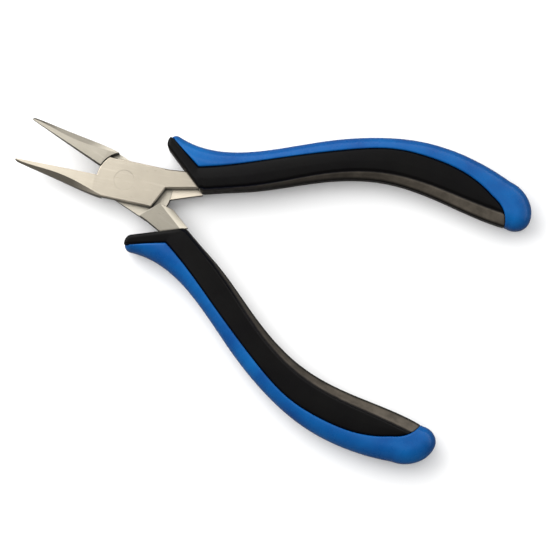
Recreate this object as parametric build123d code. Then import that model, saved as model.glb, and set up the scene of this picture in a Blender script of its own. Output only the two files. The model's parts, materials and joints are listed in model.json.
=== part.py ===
from build123d import *
import os
from math import asin, cos, sin, sqrt

# Chain-nose (needle nose) pliers with a lap joint and two-colour grips, lying flat and part open.
#
# Frame: millimetres. The origin is on the pivot axis, in the ground rear face of the joint.
# +Z is the pivot axis, +X runs between the jaws towards their tips, +Y completes the frame.
#
# Each half is drawn closed, about the lap plane z = 0, the way the front half lies: jaw on +Y,
# handle on -Y, its joint plate in front of the lap plane and the deep side of its tang behind it.
# The rear half is drawn the same way and then turned over about the X axis. The two differ only
# behind the pivot, where the front half's ledge tucks in behind the rear half's tang.
# Handle outlines are given as (back, out): distance back from the pivot, and distance out from
# the tool's centre line to the handle's own side.

# ---- driving dimensions -------------------------------------------------------------------
rest_opening = 21.8          # degrees between the gripping faces as the tool lies
head_thickness = 6.8         # joint, jaw roots and bare tangs, front face to rear face
lap_gap = 0.04               # between the two joint plates
grip_gap = 0.04              # between the gripping faces when the jaws are closed
shoulder_gap = 0.15          # between a plate's nose or square heel and the other half
round_heel_gap = 0.06        # between the rear plate's round heel and the front half
face_bevel = 0.25            # ground bevel round the joint faces

plate_half_width = 5.15      # joint plate, either side of the centre line
plate_nose_radius = 7.1      # rounded jaw end of a joint plate, about the pivot

jaw_root_x = 5.0
jaw_tip_x = 28.6

core_thickness = 4.4         # hidden part of the tang, inside the grip
core_half_width = 2.1
core_end_radius = 1.3
grip_thickness = 10.4
grip_edge_radius = 2.0

rivet_shank_radius = 1.9
rivet_head_radius = 2.6
rivet_head_depth = 0.8
rivet_rim = 0.1              # straight rim of a riveted head
rivet_recess = 0.03          # the riveted ends sit this far below the ground faces
running_clearance = 0.03     # rivet in the half that turns on it

# ---- values that follow -------------------------------------------------------------------
half_opening = rest_opening / 2
half_head = head_thickness / 2
half_lap = lap_gap / 2
half_grip = grip_thickness / 2
rivet_end = half_head - rivet_recess
tolerance = 1e-3

# Jaw stations from root to tip: x, width from the gripping face, half thickness, and the bevel
# along the jaw's back: across the face, down the side.
jaw_stations = [
    (9.0, 4.65, 3.35, 1.0, 0.8),
    (14.0, 3.65, 2.95, 1.45, 1.15),
    (20.0, 2.4, 2.15, 1.15, 0.95),
    (28.0, 0.8, 0.9, 0.45, 0.5),
]
jaw_end_station = (jaw_tip_x, 0.45, 0.5, 0.25, 0.28)

# Corners where the joint plate runs into the jaw, from the jaw's back to the plate's nose.
closed_y = grip_gap / 2
jaw_root = [(jaw_root_x, plate_half_width), (jaw_root_x, closed_y)]
jaw_root += [(sqrt(plate_nose_radius**2 - closed_y**2), closed_y)]

# Outer side and end of the bare tang. Its end lies on the line of the grip's front face.
tang_outer_start = (10.5, plate_half_width)
tang_outer_end = (14.82, 5.6)
plate_inner_end = (18.78, 2.12)
deep_inner_end = (20.15, 0.93)

# Front plate: square heel, and the straight shoulder of the rear half that faces it.
heel_corner = (10.6, 0.3)
heel_end = (8.1, -plate_half_width)
shoulder = [(8.27, plate_half_width), (10.73, -0.15)]
rear_tang_nose = (14.4, -0.9)

# Rear plate: round heel about the pivot, and the front half's ledge, which reaches past the
# centre line behind the other tang.
round_heel_radius = 12.3
round_heel_start = 2.2       # out from the centre line, clear of the closed ledge
ledge_reach = 2.0            # past the centre line
hollow_radius = round_heel_radius + round_heel_gap
ledge_corner = (sqrt(hollow_radius**2 - ledge_reach**2), -ledge_reach)

bevel_across = 1.7           # wide bevel on the inner edge of a tang's deep side, across the face
bevel_down = 1.3             # and down the side

# Centre line of the hidden tang.
core_line = [(16.5, 3.9), (26, 6.5), (35, 9.3), (48, 14.2), (64, 17.9), (76, 17.4), (86, 14.9)]

# Grip outline, from the front face round the finger guard, the back and the butt.
front_inner = (19.9, 1.15)
front_outer = (9.0, 10.7)
guard_nose = (8.75, 12.6)
guard_top = (10.7, 14.35)
butt_outer = (96, 20.8)
butt_inner = (97.5, 9.1)
outer_edge = [guard_top, (20, 12.6), (32, 14.95), (48, 21.1), (60, 24.6), (72, 26.1), (84, 24.8), butt_outer]
butt_edge = [butt_outer, (101.3, 17.4), (102.9, 13.4), (102.2, 10.3), (99.9, 8.9), butt_inner]
inner_edge = [butt_inner, (88, 10.4), (76, 12.9), (64, 13.8), (48, 10.35), (32, 4.5), (26, 2.9), front_inner]
corner_radii = [(front_inner, 1.5), (front_outer, 1.0), (guard_top, 1.5)]
corner_radii += [(butt_outer, 5.0), (butt_inner, 1.5)]

# Line where the black sleeve meets the blue shell: guard to corner, along the back, round the butt.
colour_guard = (6, 15.8)
colour_corner = (17.8, 7.3)
colour_turn = (92, 15.9)
colour_end = (96.8, 7.0)
colour_back = [colour_corner, (26, 9.7), (35, 13.0), (55, 20.0), (65, 22.3), (75, 22.1), (85, 19.8)]
colour_back += [colour_turn]
colour_butt = [colour_turn, (95.8, 12.4), colour_end]
clear_back = 112             # beyond the butt
clear_out = 34               # beyond the back of the grip


def handle(points):
    """Turn (back, out) pairs into X, Y of the front half's handle."""
    return [(-back, -out) for back, out in points]


def prism(face, bottom, top):
    """Upright solid over a level face, between two heights."""
    return Pos(0, 0, bottom) * extrude(face, top - bottom)


def edges_at_height(solid, height):
    """Edges that lie wholly in the level plane at this height."""
    boxes = [(edge, edge.bounding_box()) for edge in solid.edges()]
    return [edge for edge, box in boxes if abs(box.min.Z - height) + abs(box.max.Z - height) < tolerance]


def is_at(vector, point):
    """True if the vector lies over the plan point."""
    return abs(vector.X - point[0]) < tolerance and abs(vector.Y - point[1]) < tolerance


def joins(edge, start, end):
    """True if the edge runs between the two plan points, in either direction."""
    one_way = is_at(edge @ 0, start) and is_at(edge @ 1, end)
    return one_way or (is_at(edge @ 0, end) and is_at(edge @ 1, start))


def circle_point(radius, out):
    """(back, out) of the point this far out on a circle about the pivot."""
    return (sqrt(radius**2 - out**2), out)


def square_heel():
    """Heel of the front plate, from the tang's inner edge to the jaw side."""
    return Polyline(*handle([heel_corner, heel_end]))


def round_heel():
    """Heel of the rear plate, concentric with the pivot."""
    start = circle_point(round_heel_radius, round_heel_start)
    end = circle_point(round_heel_radius, -plate_half_width)
    return ThreePointArc(*handle([start, (round_heel_radius, 0), end]))


def plate_outline(heel):
    """Joint plate with the tang that runs on from it, on one side of the lap plane."""
    half_turn = asin(plate_half_width / plate_nose_radius) / 2
    nose_middle = (plate_nose_radius * cos(half_turn), -plate_nose_radius * sin(half_turn))
    nose_end = circle_point(plate_nose_radius, -plate_half_width)
    tang = handle([tang_outer_start, tang_outer_end, plate_inner_end])
    outline = Polyline(heel @ 1, *jaw_root) + ThreePointArc(jaw_root[-1], nose_middle, nose_end)
    return make_face(outline + Polyline(nose_end, *tang, heel @ 0) + heel)


def rear_deep_outline():
    """Deep side of the rear half's tang, with the shoulder that faces the square heel."""
    inner = [*shoulder, rear_tang_nose, deep_inner_end]
    return make_face(Polyline(*handle([*inner, tang_outer_end, tang_outer_start]), close=True))


def front_deep_outline():
    """Deep side of the front half's tang with its ledge, hollowed round the rear plate's heel."""
    inside = [(plate_nose_radius, plate_half_width), (plate_nose_radius, -ledge_reach)]
    inner = [*inside, ledge_corner, deep_inner_end]
    blank = make_face(Polyline(*handle([*inner, tang_outer_end, tang_outer_start]), close=True))
    return (blank - Circle(hollow_radius)).face()


def tang_joint(plate_face, deep_face, deep_inner_start):
    """Plate in front of the lap plane and the deep side of the tang behind it.

    Each stops at its own side of the lap gap, except where they lie over one another.
    """
    plate = prism(plate_face, half_lap, half_head)
    hidden = [handle([tang_outer_end, plate_inner_end]), jaw_root[:2], jaw_root[1:]]
    rim = [edge for edge in edges_at_height(plate, half_head)
           if not any(joins(edge, *ends) for ends in hidden)]
    deep = prism(deep_face, -half_head, -half_lap)
    inner = handle([deep_inner_start, deep_inner_end])
    inner_rim = [edge for edge in edges_at_height(deep, -half_head) if joins(edge, *inner)]
    bridge = prism(plate_face & deep_face, -half_lap, half_lap)
    return chamfer(rim, face_bevel) + chamfer(inner_rim, bevel_down, bevel_across) + bridge


def jaw_section(x, width, half_thickness, across, down):
    """Section of a jaw: flat on the gripping face, both edges of its back bevelled."""
    back = closed_y + width
    rise = half_thickness - down
    upper = [(back, rise), (back - across, half_thickness), (closed_y, half_thickness)]
    lower = [(y, -z) for y, z in reversed(upper)]
    outline = Polyline(*lower, *upper, close=True)
    return Plane(origin=(x, 0, 0), x_dir=(0, 1, 0), z_dir=(1, 0, 0)) * make_face(outline)


def jaw():
    """Tapered jaw, full thickness, from the joint to the tip."""
    root = jaw_section(jaw_root_x, plate_half_width - closed_y, half_head, face_bevel, face_bevel)
    body = [jaw_section(*station) for station in jaw_stations]
    return loft([root, *body]) + loft([body[-1], jaw_section(*jaw_end_station)], ruled=True)


def tang_core():
    """Thin part of the tang that runs inside the grip."""
    outer = handle([(back, out + core_half_width) for back, out in core_line])
    inner = handle([(back, out - core_half_width) for back, out in reversed(core_line)])
    outline = Spline(*outer) + Line(outer[-1], inner[0]) + Spline(*inner) + Line(inner[-1], outer[0])
    core = prism(make_face(outline), -core_thickness / 2, core_thickness / 2)
    far_corners = core.edges().filter_by(Axis.Z).sort_by(Axis.X)[:2]
    return fillet(far_corners, core_end_radius)


def rivet(clearance=0.0, overrun=0.0):
    """Flush rivet with a countersunk head at each end, or an oversize one to cut its hole."""
    shank = rivet_shank_radius + clearance
    head = rivet_head_radius + clearance
    neck = rivet_end - rivet_head_depth
    rim = rivet_end - rivet_rim
    end = rivet_end + overrun
    upper = [(shank, neck), (head, rim), (head, end), (0, end)]
    lower = [(radius, -height) for radius, height in reversed(upper)]
    outline = Polyline(*[(radius, 0, height) for radius, height in lower + upper], close=True)
    return revolve(make_face(outline), Axis.Z)


def half(joint, hole_clearance):
    """One forged half, closed, about the lap plane: jaw, joint and bare tang, hidden tang, rivet hole."""
    blank = joint + jaw()
    ground = blank & Box(4 * jaw_tip_x, 4 * jaw_tip_x, head_thickness)
    sweep = Pos(0, 0, half_lap - half_head) * Cylinder(plate_nose_radius + shoulder_gap, head_thickness)
    return ground - sweep + tang_core() - rivet(hole_clearance, overrun=head_thickness)


def grip_body():
    """Whole grip of the front half, before it is divided into sleeve and shell."""
    start, end, nose, top = handle([front_inner, front_outer, guard_nose, guard_top])
    outline = Line(start, end) + ThreePointArc(end, nose, top)
    outline += Spline(*handle(outer_edge)) + Spline(*handle(butt_edge)) + Spline(*handle(inner_edge))
    body = prism(make_face(outline), -half_grip, half_grip)
    for corner, radius in corner_radii:
        place = handle([corner])[0]
        upright = [edge for edge in body.edges().filter_by(Axis.Z) if is_at(edge @ 0, place)]
        body = fillet(upright, radius)
    rim = edges_at_height(body, half_grip) + edges_at_height(body, -half_grip)
    return fillet(rim, grip_edge_radius)


def shell_space():
    """All the space on the outer side of the colour line."""
    far = [(clear_back, colour_end[1]), (clear_back, clear_out), (0, clear_out)]
    around = handle([colour_end, *far, colour_guard, colour_corner])
    outline = Spline(*handle(colour_back)) + Spline(*handle(colour_butt)) + Polyline(*around)
    return prism(make_face(outline), -grip_thickness, grip_thickness)


def place_front(solid):
    """Open the front half and its grip to the rest angle, standing on the ground rear face."""
    return Pos(0, 0, half_head) * Rot(0, 0, half_opening) * solid


def place_rear(solid):
    """Turn a front-half solid over into the rear half, opened the other way."""
    return Pos(0, 0, half_head) * Rot(0, 0, -half_opening) * Rot(180, 0, 0) * solid


def main():
    """Build every piece and write one STEP file for each."""
    front_joint = tang_joint(plate_outline(square_heel()), front_deep_outline(), ledge_corner)
    rear_joint = tang_joint(plate_outline(round_heel()), rear_deep_outline(), rear_tang_nose)
    front_half = half(front_joint, 0.0)
    rear_half = half(rear_joint, running_clearance)
    grip = grip_body()
    shell = grip & shell_space()
    sleeve = grip - shell_space() - front_half
    parts = {
        "front_half": place_front(front_half),
        "rear_half": place_rear(rear_half),
        "pivot_rivet": place_front(rivet()),
        "front_grip_sleeve": place_front(sleeve),
        "front_grip_shell": place_front(shell),
        "rear_grip_sleeve": place_rear(sleeve),
        "rear_grip_shell": place_rear(shell),
    }
    os.makedirs("parts", exist_ok=True)
    for name, solid in parts.items():
        export_step(solid, f"parts/{name}.step")


main()
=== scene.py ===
"""Looks for the needle nose pliers: steel, moulded grips, a pale table, soft light and a camera overhead."""

import json
import math

import bmesh
import bpy
import numpy as np
from mathutils import Matrix, Vector
from mathutils.bvhtree import BVHTree

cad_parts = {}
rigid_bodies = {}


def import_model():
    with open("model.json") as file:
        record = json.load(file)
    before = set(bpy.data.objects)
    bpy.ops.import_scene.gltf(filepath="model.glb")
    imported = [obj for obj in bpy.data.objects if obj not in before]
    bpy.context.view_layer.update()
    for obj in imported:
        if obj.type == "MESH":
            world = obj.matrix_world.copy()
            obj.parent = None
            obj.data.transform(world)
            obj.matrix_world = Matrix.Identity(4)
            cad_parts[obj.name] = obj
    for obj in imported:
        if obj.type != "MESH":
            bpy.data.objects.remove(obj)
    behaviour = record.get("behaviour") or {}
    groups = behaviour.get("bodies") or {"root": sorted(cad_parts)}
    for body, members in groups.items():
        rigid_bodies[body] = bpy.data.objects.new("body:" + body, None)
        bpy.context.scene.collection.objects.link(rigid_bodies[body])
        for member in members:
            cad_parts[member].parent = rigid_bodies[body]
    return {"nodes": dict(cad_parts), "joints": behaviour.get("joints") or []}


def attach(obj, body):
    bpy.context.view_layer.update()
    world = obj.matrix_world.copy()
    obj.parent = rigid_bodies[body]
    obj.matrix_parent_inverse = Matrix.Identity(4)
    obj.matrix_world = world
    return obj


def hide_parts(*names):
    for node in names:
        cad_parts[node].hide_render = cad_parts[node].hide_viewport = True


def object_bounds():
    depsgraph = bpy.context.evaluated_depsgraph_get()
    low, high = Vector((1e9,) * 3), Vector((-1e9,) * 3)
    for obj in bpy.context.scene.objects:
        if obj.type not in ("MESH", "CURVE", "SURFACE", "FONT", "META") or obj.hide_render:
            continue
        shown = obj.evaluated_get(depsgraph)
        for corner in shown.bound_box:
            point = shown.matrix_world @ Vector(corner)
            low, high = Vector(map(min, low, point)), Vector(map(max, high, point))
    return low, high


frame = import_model()
cad_low, cad_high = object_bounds()

MM = 0.001
PIVOT = frame["joints"][0]
FRONT_BODY = PIVOT["parent"]
REAR_BODY = PIVOT["child"]
HALF_OPENING = math.radians(PIVOT["range_deg"][1]) / 2
LAP_HEIGHT = PIVOT["pos_m"][2]
FLOOR_HEIGHT = cad_low.z

# ---- grip shape, in mm --------------------------------------------------------------------
HALF_GRIP = (cad_high.z - cad_low.z) / 2 / MM
CAD_EDGE_RADIUS = 2.0
VOXEL = 0.22
SMOOTHING_ROUNDS = 4
TOP_SNAP = 0.985             # heights above this share of the CAD face count as the face itself
PLAN_FLATTEN = 0.01          # heights shrink to this share where only distances in plan count

SHELL_WALL_HALF = 1.0        # straight part of the shell's outer wall, above mid height
SHELL_ROUND = 4.2            # width over which the shell rounds up from that wall
SHELL_LIP = (0.5, 0.22)      # rounding of the shell's edge at the sleeve: width, depth

SLEEVE_TOP = HALF_GRIP - 0.5
SLEEVE_DOME = (0.45, 2.2)    # crown of the sleeve's pad: height, and width over which it rises
SLEEVE_VALLEY = (0.45, 0.3)  # dip of the sleeve beside the shell: width, depth
FRONT_WALL_HALF = 3.7
FRONT_ROUND = 1.3
SIDE_WALL_HALF = 1.7         # lower edge of the slanted facet on the inner side
SIDE_TOP = 4.3               # upper edge of that facet
SIDE_WIDTH = (0.3, 2.6)      # its width at the guard and at the butt
SIDE_REACH = (25.0, 92.0)    # distances back from the pivot where those widths hold
CREASE = (0.45, 0.26, 0.6)   # groove above the facet: offset, half width, depth
SIDE_PAINTED_REFLECTION = (0.25, 1.0)  # share of painted grey table reflection on the facet at the guard and at the butt
SIDE_EDGE = 0.6              # the facet's painted reflection fades to black within this distance of its outer edge
TOUCHING = 0.08              # faces nearer than this to another part touch it
FRONT_REACH = 22.0           # the sleeve's front face lies within this distance of the pivot

# ---- steel --------------------------------------------------------------------------------
FRONT_STEEL = (0.445, 0.40, 0.325)
# painted shade: the rear half is the same steel as the front, painted darker for how its faces catch the
# light
REAR_STEEL_PAINTED_DARKER = (0.32, 0.295, 0.245)
GRAIN_STRETCH = (16, 1, 1)   # grinding marks are this much longer than wide
GRAIN_DEPTH = 0.008          # mm
EDGE_WEAR = 0.12             # mm, radius of the worn edges
JAW_FADE = (6.0, 12.0)       # mm in front of the pivot, over which the steel turns to the jaws' painted shade
JAW_PAINTED_SHADE = 0.76             # painted shade: how bright the jaws are painted beside the joint
LAP_NEAR = (0.05, 0.15)      # mm from the lap plane, over which its faces painted brighter end
PAINTED_LIGHT_BOOST = 1.7             # painted light: how much brighter the bevels and the faces at the lap plane are painted
FLAT_LEVEL = (0.9, 0.98)     # a face counts as flat as its normal's upright part passes between these
WALL_LEVEL = (0.15, 0.5)     # and as a wall as it falls between these
WALL_PAINTED_SHADES = (0.6, 0.8)     # painted shade: how much of its colour a wall keeps, at the joint and along the jaws

# ---- moulded plastics: main and darker colour, roughness, shine and grain depth in mm; for the black, the painted reflection's colour -----
BLACK = {"colour": (0.003, 0.0028, 0.0025), "shade": (0.002, 0.0017, 0.002),
         "gloss": 0.33, "shine": 0.10, "grain_depth": 0.012, "painted_reflection_colour": (0.105, 0.09, 0.072)}
BLUE = {"colour": (0.002, 0.105, 0.34), "shade": (0.0015, 0.06, 0.24),
        "gloss": 0.27, "shine": 0.18, "grain_depth": 0.008}

# ---- painted shade in hollows: colours, and reach in mm, how open a place is where it is darkest and where there is none -----
PAINTED_HOLLOW_SHADE = (0.012, 0.009, 0.007)
GAP_HOLLOW = (0.6, 0.4, 0.85)       # painted shade in the joint's gaps
WALL_HOLLOW = (3.0, 0.6, 0.95)      # painted shade on walls that look onto another part
PAINTED_SEAM_SHADE = (0.002, 0.003, 0.010)
SEAM_HOLLOW = (0.9, 0.3, 0.85)      # painted shade at the seam between the two mouldings and in creases

# ---- view, in mm --------------------------------------------------------------------------
PICTURE_WIDTH = 139.4
PICTURE_CENTRE = Vector((-44.6, 6.9, 5.0))
PICTURE_UP = Vector((0.3947, -0.9188, 0.0)).normalized()
CAMERA_DISTANCE = 600.0
CAMERA_TILT = math.radians(5)
SENSOR = 36.0
WORLD_SOFT = (0.42, 1.75, 1.6)   # base, peak and tightness of the light on matt surfaces
WORLD_SHINE = (0.62, 3.0, 1.5)   # what shiny surfaces reflect: overhead, walls, tightness of the change
DARK_SIDE = (-0.5, -0.05)        # that reflection fades towards the picture's bottom between these
DARK_LEVEL = 0.14                # and this share of it is left there
KEY_OFFSET = (140.0, 170.0, 200.0)   # key light: towards the picture's top, its left, and up
KEY_SIZE = 320.0
KEY_POWER = 0.75                 # watts
BRIGHT_SIDE = (0.6, 0.3, 0.9)    # soft light comes from here: the picture's top, its left, and up
FLOOR_HALF = 3000.0
TABLE_SHADES = (0.97, 0.99)
TABLE_TO_TOOL = (0.2, 0.19, 0.18)    # the table's colour as everything but the camera sees it


# ---- node helpers -------------------------------------------------------------------------
class Nodes:
    """A node tree with short ways to add and join nodes."""

    def __init__(self, tree):
        self.tree = tree

    def add(self, kind, inputs=None, **settings):
        """A new node. Inputs are values or other nodes' outputs, by socket name or number."""
        node = self.tree.nodes.new("ShaderNode" + kind)
        for key, value in settings.items():
            setattr(node, key, value)
        for key, value in (inputs or {}).items():
            self.feed(node.inputs[key], value)
        return node

    def feed(self, socket, value):
        if isinstance(value, bpy.types.NodeSocket):
            self.tree.links.new(value, socket)
        else:
            socket.default_value = value

    def maths(self, operation, *values):
        return self.add("Math", dict(enumerate(values)), operation=operation).outputs["Value"]

    def span(self, value, low, high, low_in=0.0, high_in=1.0, **settings):
        """The value, mapped from one range onto another and held within it."""
        ends = {"Value": value, "From Min": low_in, "From Max": high_in, "To Min": low, "To Max": high}
        return self.add("MapRange", ends, **settings).outputs["Result"]


class Shader(Nodes):
    """A material's node tree."""

    def __init__(self, name):
        self.material = bpy.data.materials.new(name)
        self.material.use_nodes = True
        super().__init__(self.material.node_tree)
        self.surface = self.tree.nodes["Principled BSDF"]

    def finish(self, **inputs):
        for key, value in inputs.items():
            self.feed(self.surface.inputs[key.replace("_", " ")], value)
        return self.material

    def place(self, turn=0.0, stretch=(1, 1, 1)):
        """Object coordinates, turned about Z and stretched."""
        coordinates = self.add("TexCoord").outputs["Object"]
        settings = {"Vector": coordinates, "Rotation": (0, 0, turn), "Scale": stretch}
        return self.add("Mapping", settings, vector_type="TEXTURE").outputs["Vector"]

    def noise(self, place, size, detail=3.0, roughness=0.5):
        """Noise whose features are about this many mm across."""
        settings = {"Vector": place, "Scale": 1 / (size * MM), "Detail": detail, "Roughness": roughness}
        return self.add("TexNoise", settings).outputs["Fac"]

    def hollow(self, reach, deep, open_level):
        """How shut in a place is: 1 in gaps and corners, 0 on open faces. Reach is in mm."""
        light = self.add("AmbientOcclusion", {"Distance": reach * MM}, samples=8).outputs["AO"]
        return self.span(light, 1.0, 0.0, deep, open_level)

    def direction(self, turn):
        """Level direction, turned about Z, that moves with the object."""
        along = self.add("CombineXYZ", {"X": math.cos(turn), "Y": math.sin(turn)}).outputs["Vector"]
        settings = {"vector_type": "VECTOR", "convert_from": "OBJECT", "convert_to": "WORLD"}
        return self.add("VectorTransform", {"Vector": along}, **settings).outputs["Vector"]

    def blend(self, share, first, second, how="MIX"):
        """Colour between two colours, or the first tinted by the second."""
        settings = {0: share, 6: first, 7: second}
        return self.add("Mix", settings, data_type="RGBA", blend_type=how).outputs[2]

    def bump(self, height, depth, strength=1.0, normal=None):
        """Surface normal for a height that is depth mm at full strength."""
        settings = {"Height": height, "Distance": depth * MM, "Strength": strength}
        if normal is not None:
            settings["Normal"] = normal
        return self.add("Bump", settings).outputs["Normal"]


# ---- materials ----------------------------------------------------------------------------
def opaque(colour, share=1.0):
    """Colour for a node's socket, scaled by a share."""
    return (*(min(1.0, share * c) for c in colour), 1)


def worn_plating(shader, colour, along, plain, soft):
    """Plating with slow clouds, fine scratches and bright worn edges."""
    scratches = shader.noise(along, size=0.5, detail=2.0)
    cloud = shader.noise(plain, size=6.0, detail=3.0)
    flat = shader.add("NewGeometry").outputs["Normal"]
    turned = shader.add("VectorMath", {0: soft, 1: flat}, operation="DOT_PRODUCT").outputs["Value"]
    edge = shader.span(turned, 0.8, 0.0, 0.75, 0.98)
    bright = opaque([1.1 * c + 0.05 for c in colour])
    tone = shader.blend(shader.span(cloud, 0.0, 1.0, 0.35, 0.65), opaque(colour, 0.93), opaque(colour))
    tone = shader.blend(shader.span(scratches, 0.0, 0.4, 0.55, 0.75), tone, bright)
    return shader.blend(edge, tone, bright)


def painted_light_faces(shader, flat_share, off_jaws, height):
    """Share painted brighter: bevels off the jaws as painted highlight, and flat faces at the lap plane as
    painted light.
    """
    from_lap = shader.maths("ABSOLUTE", shader.maths("SUBTRACT", height, LAP_HEIGHT))
    lap_share = shader.span(from_lap, 1.0, 0.0, LAP_NEAR[0] * MM, LAP_NEAR[1] * MM)
    bevelled = shader.maths("MULTIPLY", shader.maths("SUBTRACT", 1.0, flat_share), off_jaws)
    return shader.maths("MAXIMUM", bevelled, shader.maths("MULTIPLY", flat_share, lap_share))


def steel(name, colour, turn):
    """Plated steel ground in one direction, with painted shade on the jaws, walls and gaps, and painted
    light on bevels and lap-plane faces.
    """
    shader = Shader(name)
    along = shader.place(turn, GRAIN_STRETCH)
    plain = shader.place()
    grain = shader.noise(along, size=0.12, detail=4.0, roughness=0.6)
    soft = shader.add("Bevel", {"Radius": EDGE_WEAR * MM}, samples=6).outputs["Normal"]
    tone = worn_plating(shader, colour, along, plain, soft)

    normal = shader.add("NewGeometry").outputs["True Normal"]
    level = shader.maths("ABSOLUTE", shader.add("SeparateXYZ", {"Vector": normal}).outputs["Z"])
    flat_share = shader.span(level, 0.0, 1.0, *FLAT_LEVEL)
    wall_share = shader.span(level, 1.0, 0.0, *WALL_LEVEL)
    place = shader.add("SeparateXYZ", {"Vector": plain}).outputs
    jaws = shader.span(place["X"], 0.0, 1.0, JAW_FADE[0] * MM, JAW_FADE[1] * MM)
    off_jaws = shader.maths("SUBTRACT", 1.0, jaws)

    # painted light: bevels off the jaws and flat faces at the lap plane painted brighter
    painted_light_share = painted_light_faces(shader, flat_share, off_jaws, place["Z"])
    tone = shader.blend(painted_light_share, tone, opaque(colour, PAINTED_LIGHT_BOOST))
    # painted shade: the jaws painted darker
    tone = shader.blend(jaws, tone, (JAW_PAINTED_SHADE, JAW_PAINTED_SHADE, JAW_PAINTED_SHADE, 1), "MULTIPLY")

    # painted shade: upright walls darker, and nearly black and not metal where they look onto another part
    shut_in = shader.hollow(*WALL_HOLLOW)
    wall = shader.blend(jaws, *(opaque(colour, share) for share in WALL_PAINTED_SHADES))
    wall = shader.blend(shut_in, wall, opaque(PAINTED_HOLLOW_SHADE))
    tone = shader.blend(wall_share, tone, wall)
    # painted shade: the joint's gaps nearly black and not metal
    gap_share = shader.hollow(*GAP_HOLLOW)
    tone = shader.blend(gap_share, tone, opaque(PAINTED_HOLLOW_SHADE))

    shaded_wall = shader.maths("MULTIPLY", shader.maths("MULTIPLY", wall_share, off_jaws), shut_in)
    metal = shader.maths("SUBTRACT", 1.0, shader.maths("MAXIMUM", gap_share, shaded_wall))
    rough = shader.span(grain, 0.27, 0.38, 0.3, 0.7)
    bumps = shader.bump(grain, GRAIN_DEPTH, 0.3, soft)
    return shader.finish(Base_Color=tone, Metallic=metal, Roughness=rough, Normal=bumps,
                         Specular_IOR_Level=0.1, Anisotropic=0.5, Tangent=shader.direction(turn))


def moulded(name, colour, shade, gloss, shine, grain_depth, painted_reflection_colour=None):
    """Moulded grip plastic with a fine matt texture, slow colour variation and polished high spots.

    With a painted reflection colour, the places that the mesh marks take on that colour in patches, as a
    painted reflection of the table.
    """
    shader = Shader(name)
    plain = shader.place()
    fine = shader.noise(plain, size=0.16, detail=2.0)
    cloud = shader.noise(plain, size=9.0, detail=3.0)
    handling_and_reflection_patches = shader.noise(plain, size=3.5, detail=4.0, roughness=0.6)
    tone = shader.blend(shader.span(cloud, 0.0, 1.0, 0.3, 0.7), opaque(shade), opaque(colour))
    # painted reflection: the marked inner facet takes on the table's grey reflection, in patches
    if painted_reflection_colour is not None:
        painted_reflection = shader.add("Attribute", attribute_name="painted_reflection").outputs["Fac"]
        patchy = shader.maths("MULTIPLY", painted_reflection, shader.span(handling_and_reflection_patches, 0.6, 1.2, 0.3, 0.7))
        tone = shader.blend(patchy, tone, opaque(painted_reflection_colour))
    # painted shade: darker at the seam and in creases
    tone = shader.blend(shader.hollow(*SEAM_HOLLOW), tone, opaque(PAINTED_SEAM_SHADE))
    rough = shader.span(handling_and_reflection_patches, gloss - 0.05, gloss + 0.07, 0.3, 0.7)
    normal = shader.bump(fine, grain_depth, 0.5)
    return shader.finish(Base_Color=tone, Roughness=rough, Normal=normal, Specular_IOR_Level=shine)


def plain_table(name):
    """Pale matt table top with a barely visible unevenness, dim to the tool so that edges read dark."""
    shader = Shader(name)
    cloud = shader.noise(shader.place(), size=60.0, detail=2.0)
    tone = shader.blend(cloud, *((shade, shade, shade, 1) for shade in TABLE_SHADES))
    tone = shader.blend(shader.add("LightPath").outputs["Is Camera Ray"], opaque(TABLE_TO_TOOL), tone)
    return shader.finish(Base_Color=tone, Roughness=0.9, Specular_IOR_Level=0.0)


def dress(node, material):
    """Gives a CAD node one material."""
    mesh = frame["nodes"][node].data
    mesh.materials.clear()
    mesh.materials.append(material)


# ---- grips --------------------------------------------------------------------------------
CLOSED = Matrix.Rotation(-HALF_OPENING, 4, "Z") @ Matrix.Translation((0, 0, -LAP_HEIGHT))
LAP = Matrix.Translation((0, 0, LAP_HEIGHT))
REAR_FROM_FRONT = LAP @ Matrix.Rotation(-HALF_OPENING, 4, "Z") @ Matrix.Rotation(math.pi, 4, "X") @ CLOSED


def closed_mesh(node):
    """Copy of a CAD node's mesh, welded, in the front half's closed frame and in mm."""
    shape = bmesh.new()
    shape.from_mesh(frame["nodes"][node].data)
    bmesh.ops.remove_doubles(shape, verts=shape.verts, dist=0.002 * MM)
    shape.transform(Matrix.Scale(1 / MM, 4) @ CLOSED)
    bmesh.ops.recalc_face_normals(shape, faces=shape.faces)
    return shape


def tree_of(shape, keep, flatten=1.0):
    """Search tree over the faces that keep accepts, with heights scaled down by flatten."""
    shape.verts.index_update()
    points = [v.co * Vector((1, 1, flatten)) for v in shape.verts]
    faces = [[v.index for v in face.verts] for face in shape.faces if keep(face)]
    return BVHTree.FromPolygons(points, faces)


def plan_distance(tree, points):
    """Distance from each point, taken to mid height, to the upright faces in the tree."""
    return np.array([tree.find_nearest(Vector((x, y, 0)))[3] for x, y, _ in points])


def remeshed(shape, name):
    """Even, lightly smoothed mesh over a closed shape."""
    rough = bpy.data.meshes.new(name)
    shape.to_mesh(rough)
    draft = bpy.data.objects.new(name, rough)
    bpy.context.scene.collection.objects.link(draft)
    remesh = draft.modifiers.new("even", "REMESH")
    remesh.mode = "VOXEL"
    remesh.voxel_size = VOXEL
    smooth = draft.modifiers.new("smooth", "SMOOTH")
    smooth.iterations = SMOOTHING_ROUNDS
    depsgraph = bpy.context.evaluated_depsgraph_get()
    mesh = bpy.data.meshes.new_from_object(draft.evaluated_get(depsgraph))
    bpy.data.objects.remove(draft)
    bpy.data.meshes.remove(rough)
    return mesh


def rounded(distance, wall, top, width):
    """Height above mid plane of an edge that rounds up from its wall to the top over a width."""
    share = np.clip(distance / width, 0, 1)
    return wall + (top - wall) * np.sqrt(1 - (1 - share) ** 2)


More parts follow.
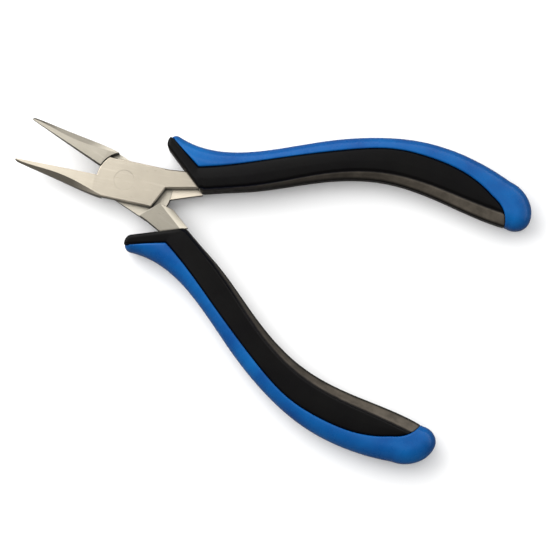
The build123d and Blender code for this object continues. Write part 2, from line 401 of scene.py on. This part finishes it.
def smooth_min(first, second, width):
    """Lower of two heights, with the corner between them rounded."""
    share = np.clip(0.5 + 0.5 * (second - first) / width, 0, 1)
    return second * (1 - share) + first * share - width * share * (1 - share)


def dip(distance, width, depth):
    """Depth of a rounded edge or valley that ends this far from a line."""
    return depth * np.clip(1 - distance / width, 0, 1) ** 2


def points_of(mesh):
    """The mesh's points as rows of x, y, z."""
    points = np.empty(len(mesh.vertices) * 3)
    mesh.vertices.foreach_get("co", points)
    return points.reshape(-1, 3)


def reshape(mesh, to_wall, height):
    """Scales heights so that the flat CAD face with its rounded edge takes on the given height."""
    points = points_of(mesh)
    straight = HALF_GRIP - CAD_EDGE_RADIUS
    cad_height = rounded(to_wall(points), straight, HALF_GRIP, CAD_EDGE_RADIUS)
    share = points[:, 2] / cad_height
    share = np.where(np.abs(share) > TOP_SNAP, np.sign(share), share)
    points[:, 2] = share * height(points)
    mesh.vertices.foreach_set("co", points.ravel())
    mesh.update()


def shell_height(outer, seam):
    """Height of the blue shell: rounded back, small rounded edge at the sleeve."""
    height = rounded(outer, SHELL_WALL_HALF, HALF_GRIP, SHELL_ROUND)
    return height - dip(seam, *SHELL_LIP)


def sleeve_height(points, front, inner, seam):
    """Height of the black sleeve: crowned pad, rounded front edge, crease and slanted inner side."""
    back = -points[:, 0]
    width = np.interp(back, SIDE_REACH, SIDE_WIDTH)
    crown, crown_width = SLEEVE_DOME
    pad = SLEEVE_TOP + crown * (1 - np.exp(-np.minimum(np.maximum(inner - width, 0), seam) / crown_width))
    pad -= dip(seam, *SLEEVE_VALLEY)
    facet = SIDE_WALL_HALF + (SIDE_TOP - SIDE_WALL_HALF) * inner / width
    height = smooth_min(pad, facet, 0.5)
    offset, half_width, depth = CREASE
    height -= depth * np.exp(-((inner - width - offset) / half_width) ** 2)
    edge = rounded(front, FRONT_WALL_HALF, HALF_GRIP, FRONT_ROUND)
    return smooth_min(height, edge, 0.3)


def mark_painted_reflection(mesh, inner):
    """Marks the slanted inner side for the painted reflection, more so towards the butt. Inner is each
    point's distance in.
    """
    back = -points_of(mesh)[:, 0]
    width = np.interp(back, SIDE_REACH, SIDE_WIDTH)
    share = np.clip(1 - (inner - width) / CREASE[0], 0, 1) * np.clip(inner / SIDE_EDGE, 0, 1) ** 2
    painted_reflection = mesh.attributes.new("painted_reflection", "FLOAT", "POINT")
    painted_reflection.data.foreach_set("value", share * np.interp(back, SIDE_REACH, SIDE_PAINTED_REFLECTION))


def grip_meshes():
    """Meshes of the front grip's sleeve and shell, in the closed frame and in mm."""
    sleeve = closed_mesh("front_grip_sleeve")
    shell = closed_mesh("front_grip_shell")
    tang = closed_mesh("front_half")
    trees = {"sleeve": tree_of(sleeve, lambda face: True), "shell": tree_of(shell, lambda face: True),
             "tang": tree_of(tang, lambda face: True)}

    def touches(face, other):
        return trees[other].find_nearest(face.calc_center_median())[3] < TOUCHING

    def upright(face):
        return abs(face.normal.z) < 0.1

    def is_front(face):
        near = -face.calc_center_median().x < FRONT_REACH
        return upright(face) and near and face.normal.x > 0.4 and not touches(face, "shell")

    def is_inner(face):
        is_joint = touches(face, "shell") or touches(face, "tang")
        return upright(face) and not is_front(face) and not is_joint

    def is_outer(face):
        return upright(face) and not touches(face, "sleeve")

    def is_seam(face):
        return upright(face) and touches(face, "sleeve")

    front = tree_of(sleeve, is_front, PLAN_FLATTEN)
    inner = tree_of(sleeve, is_inner, PLAN_FLATTEN)
    outer = tree_of(shell, is_outer, PLAN_FLATTEN)
    seam = tree_of(shell, is_seam, PLAN_FLATTEN)

    sleeve_mesh = remeshed(sleeve, "sleeve")
    shell_mesh = remeshed(shell, "shell")

    def sleeve_wall(points):
        return np.minimum(plan_distance(front, points), plan_distance(inner, points))

    reshape(shell_mesh, lambda points: plan_distance(outer, points),
            lambda points: shell_height(plan_distance(outer, points), plan_distance(seam, points)))
    reshape(sleeve_mesh, sleeve_wall,
            lambda points: sleeve_height(points, plan_distance(front, points), plan_distance(inner, points),
                                         plan_distance(seam, points)))
    mark_painted_reflection(sleeve_mesh, plan_distance(inner, [v.co for v in sleeve_mesh.vertices]))
    return sleeve_mesh, shell_mesh


def add_grips(black, blue):
    """Both grips: the front one, and the same mouldings turned over on the rear half."""
    for part, mesh, material, slot in zip(("sleeve", "shell"), grip_meshes(), (black, blue),
                                          ("black_grip", "blue_grip")):
        mesh.transform(CLOSED.inverted() @ Matrix.Scale(MM, 4))
        mesh.materials.clear()
        mesh.materials.append(material)
        mesh.shade_smooth()
        turned = mesh.copy()
        turned.transform(REAR_FROM_FRONT)
        for side, body, data in (("front", FRONT_BODY, mesh), ("rear", REAR_BODY, turned)):
            piece = bpy.data.objects.new(f"{side}_moulded_{part}", data)
            bpy.context.scene.collection.objects.link(piece)
            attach(piece, body)
            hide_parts(f"{side}_grip_{part}")


# ---- stage --------------------------------------------------------------------------------
def add_floor():
    """Square table top that the tool lies on."""
    half = FLOOR_HALF * MM
    mesh = bpy.data.meshes.new("floor")
    corners = [(x * half, y * half, FLOOR_HEIGHT) for x, y in ((-1, -1), (1, -1), (1, 1), (-1, 1))]
    mesh.from_pydata(corners, [], [(0, 1, 2, 3)])
    mesh.materials.append(plain_table("table"))
    floor = bpy.data.objects.new("floor", mesh)
    bpy.context.scene.collection.objects.link(floor)


def from_picture(up, left, above):
    """Vector this far towards the picture's top and left, and straight up."""
    above_floor = Vector((0, 0, 1))
    return PICTURE_UP * up - PICTURE_UP.cross(above_floor) * left + above_floor * above


def add_light(name, offset, size, power):
    """Square soft light at an offset from the middle of the picture, aimed at the joint."""
    data = bpy.data.lights.new(name, "AREA")
    data.size = size * MM
    data.energy = power
    light = bpy.data.objects.new(name, data)
    light.location = (PICTURE_CENTRE + offset) * MM
    light.rotation_euler = light.location.to_track_quat("Z", "Y").to_euler()
    bpy.context.scene.collection.objects.link(light)


def add_world():
    """Surroundings: a broad soft light, pale walls with a dark side in reflections, white to the camera."""
    world = bpy.data.worlds.new("studio")
    bpy.context.scene.world = world
    world.use_nodes = True
    world.node_tree.nodes.clear()
    nodes = Nodes(world.node_tree)

    def facing(direction):
        """How far a ray goes along a direction, from -1 to 1."""
        ray = nodes.add("TexCoord").outputs["Generated"]
        ends = {0: ray, 1: direction.normalized()}
        return nodes.add("VectorMath", ends, operation="DOT_PRODUCT").outputs["Value"]

    base, peak, power = WORLD_SOFT
    near = nodes.maths("MAXIMUM", facing(from_picture(*BRIGHT_SIDE)), 0.0)
    soft = nodes.maths("MULTIPLY_ADD", nodes.maths("POWER", near, power), peak - base, base)

    overhead, walls, power = WORLD_SHINE
    sideways = nodes.maths("SUBTRACT", 1.0, nodes.maths("MAXIMUM", facing(Vector((0, 0, 1))), 0.0))
    tent = nodes.maths("MULTIPLY_ADD", nodes.maths("POWER", sideways, power), walls - overhead, overhead)
    open_side = nodes.span(facing(PICTURE_UP), DARK_LEVEL, 1.0, *DARK_SIDE, interpolation_type="SMOOTHSTEP")
    shine = nodes.maths("MULTIPLY", tent, open_side)

    path = nodes.add("LightPath").outputs
    matt, shiny, seen = (nodes.add("Background", {"Color": colour}).outputs[0]
                         for colour in (soft, shine, (1, 1, 1, 1)))
    room = nodes.add("MixShader", {0: path["Is Glossy Ray"], 1: matt, 2: shiny}).outputs[0]
    surface = nodes.add("MixShader", {0: path["Is Camera Ray"], 1: room, 2: seen}).outputs[0]
    nodes.add("OutputWorld", {"Surface": surface})


def add_camera():
    """Camera almost straight above the tool, turned so that the jaws point left and slightly up."""
    data = bpy.data.cameras.new("camera")
    data.sensor_width = SENSOR
    data.lens = SENSOR * CAMERA_DISTANCE / PICTURE_WIDTH
    camera = bpy.data.objects.new("camera", data)
    right = PICTURE_UP.cross(Vector((0, 0, 1)))
    back = Vector((0, 0, math.cos(CAMERA_TILT))) - PICTURE_UP * math.sin(CAMERA_TILT)
    camera.matrix_world = Matrix((right, back.cross(right), back)).transposed().to_4x4()
    camera.location = (PICTURE_CENTRE + back * CAMERA_DISTANCE) * MM
    bpy.context.scene.collection.objects.link(camera)
    bpy.context.scene.camera = camera


def main():
    """Dress the tool, then set the stage."""
    scene = bpy.context.scene
    scene.view_settings.view_transform = "Standard"
    scene.view_settings.look = "None"

    front_steel = steel("front_steel", FRONT_STEEL, HALF_OPENING)
    dress("front_half", front_steel)
    dress("pivot_rivet", front_steel)
    dress("rear_half", steel("rear_steel", REAR_STEEL_PAINTED_DARKER, -HALF_OPENING))
    add_grips(moulded("black_moulding", **BLACK), moulded("blue_moulding", **BLUE))

    add_floor()
    add_light("key_light", from_picture(*KEY_OFFSET), KEY_SIZE, KEY_POWER)
    add_world()
    add_camera()


main()
